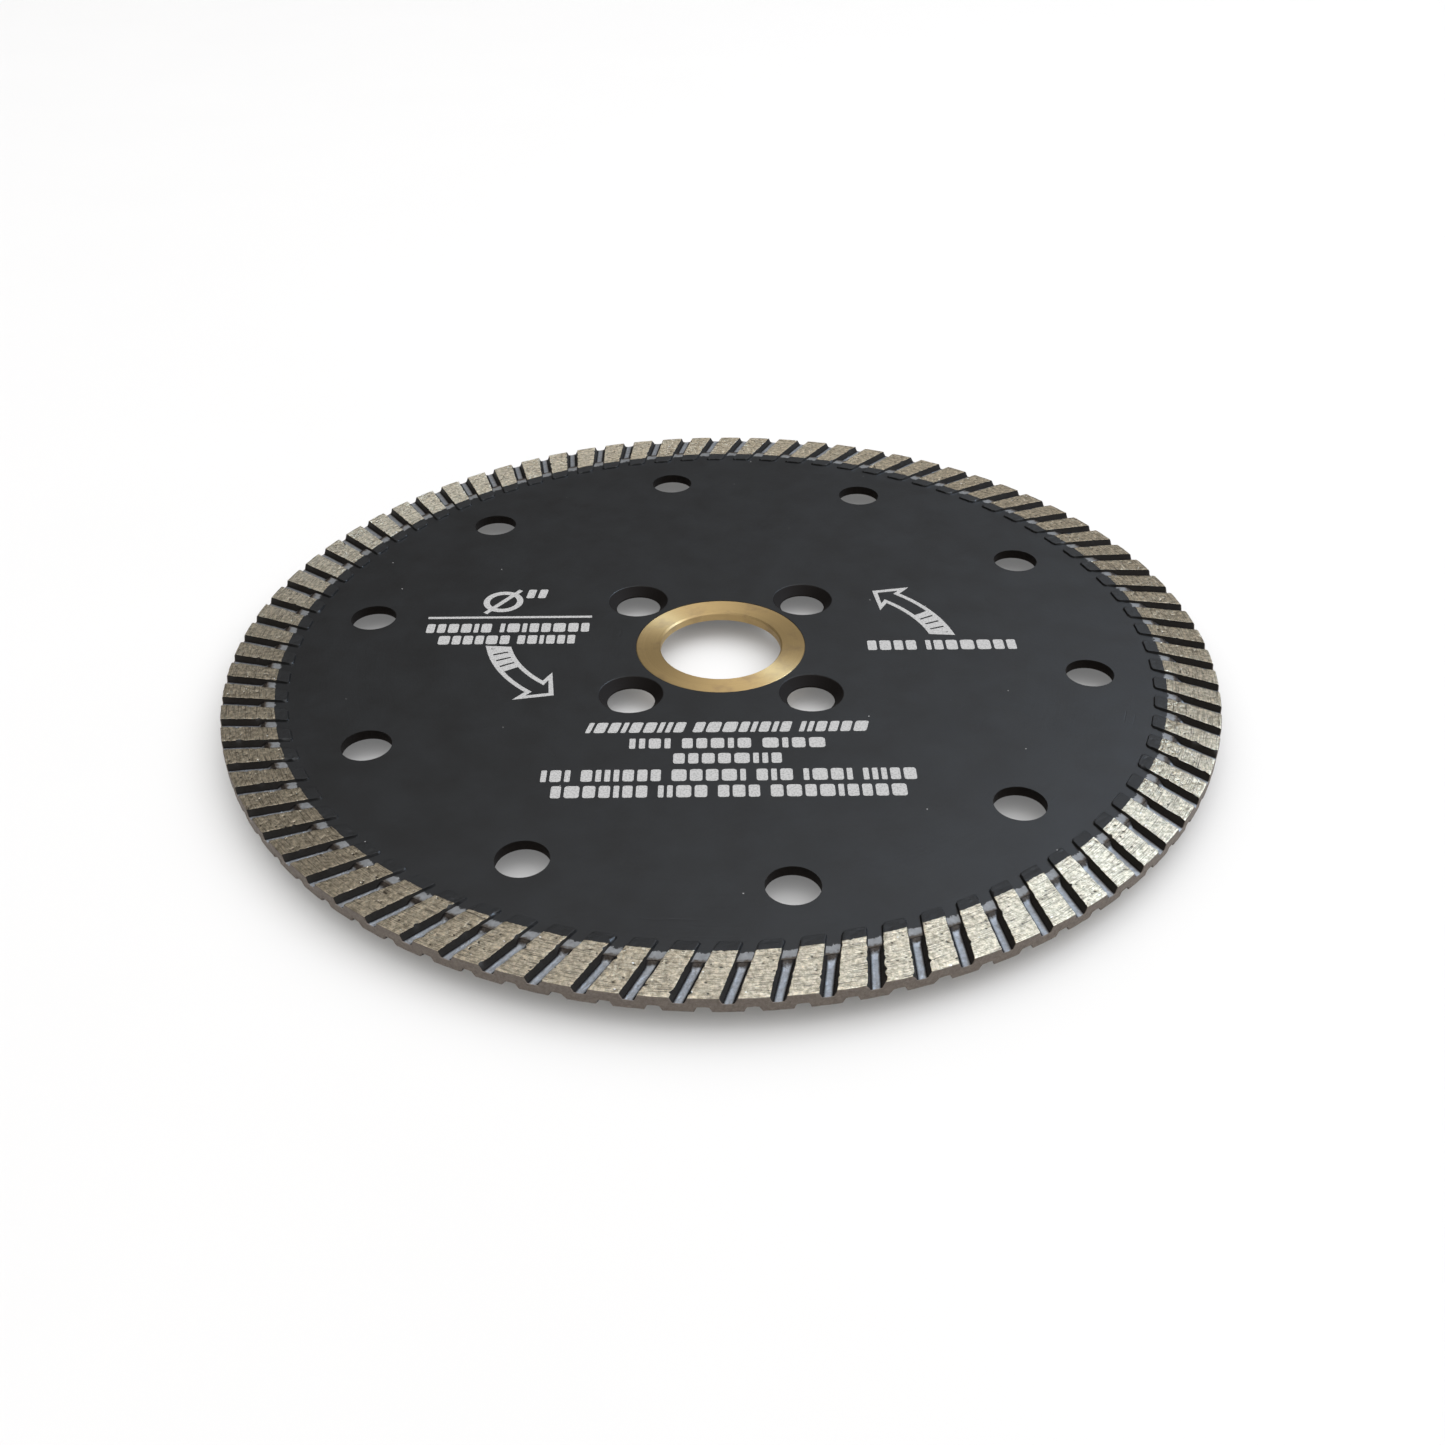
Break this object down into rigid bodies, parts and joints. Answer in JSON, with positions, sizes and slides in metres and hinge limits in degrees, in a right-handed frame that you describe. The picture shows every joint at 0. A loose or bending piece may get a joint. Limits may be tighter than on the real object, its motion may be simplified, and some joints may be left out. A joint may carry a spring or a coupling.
{
  "type": "diamond blade",
  "caption": "Continuous turbo-rim diamond cutting disc for masonry, with a slotted sintered rim on a flat steel core and a push-out arbor reducer ring.",
  "frame": {"origin": "centre of the arbor bore, halfway through the blade's thickness", "axes": "+Z along the spindle axis, out of the printed face; +Y towards the top of the print; the blade turns anticlockwise seen from +Z"},
  "size_m": [0.127, 0.127, 0.002],
  "materials": {
    "core_steel": "sheet steel with a thin satin black coating, bare beside the rim",
    "sintered_rim": "sintered metal powder and diamond grit, ground bright on the lands and rough in the slots",
    "ring_brass": "turned brass with fine concentric tool marks"
  },
  "bodies": {
    "blade": {"steel_core": "core_steel", "diamond_rim": "sintered_rim"},
    "reducer": {"reducer_ring": "ring_brass"}
  },
  "joints": [
    {"name": "reducer_push_out", "type": "slide", "parent": "blade", "child": "reducer", "axis": [0, 0, 1], "range_m": [0, 0.008]}
  ]
}
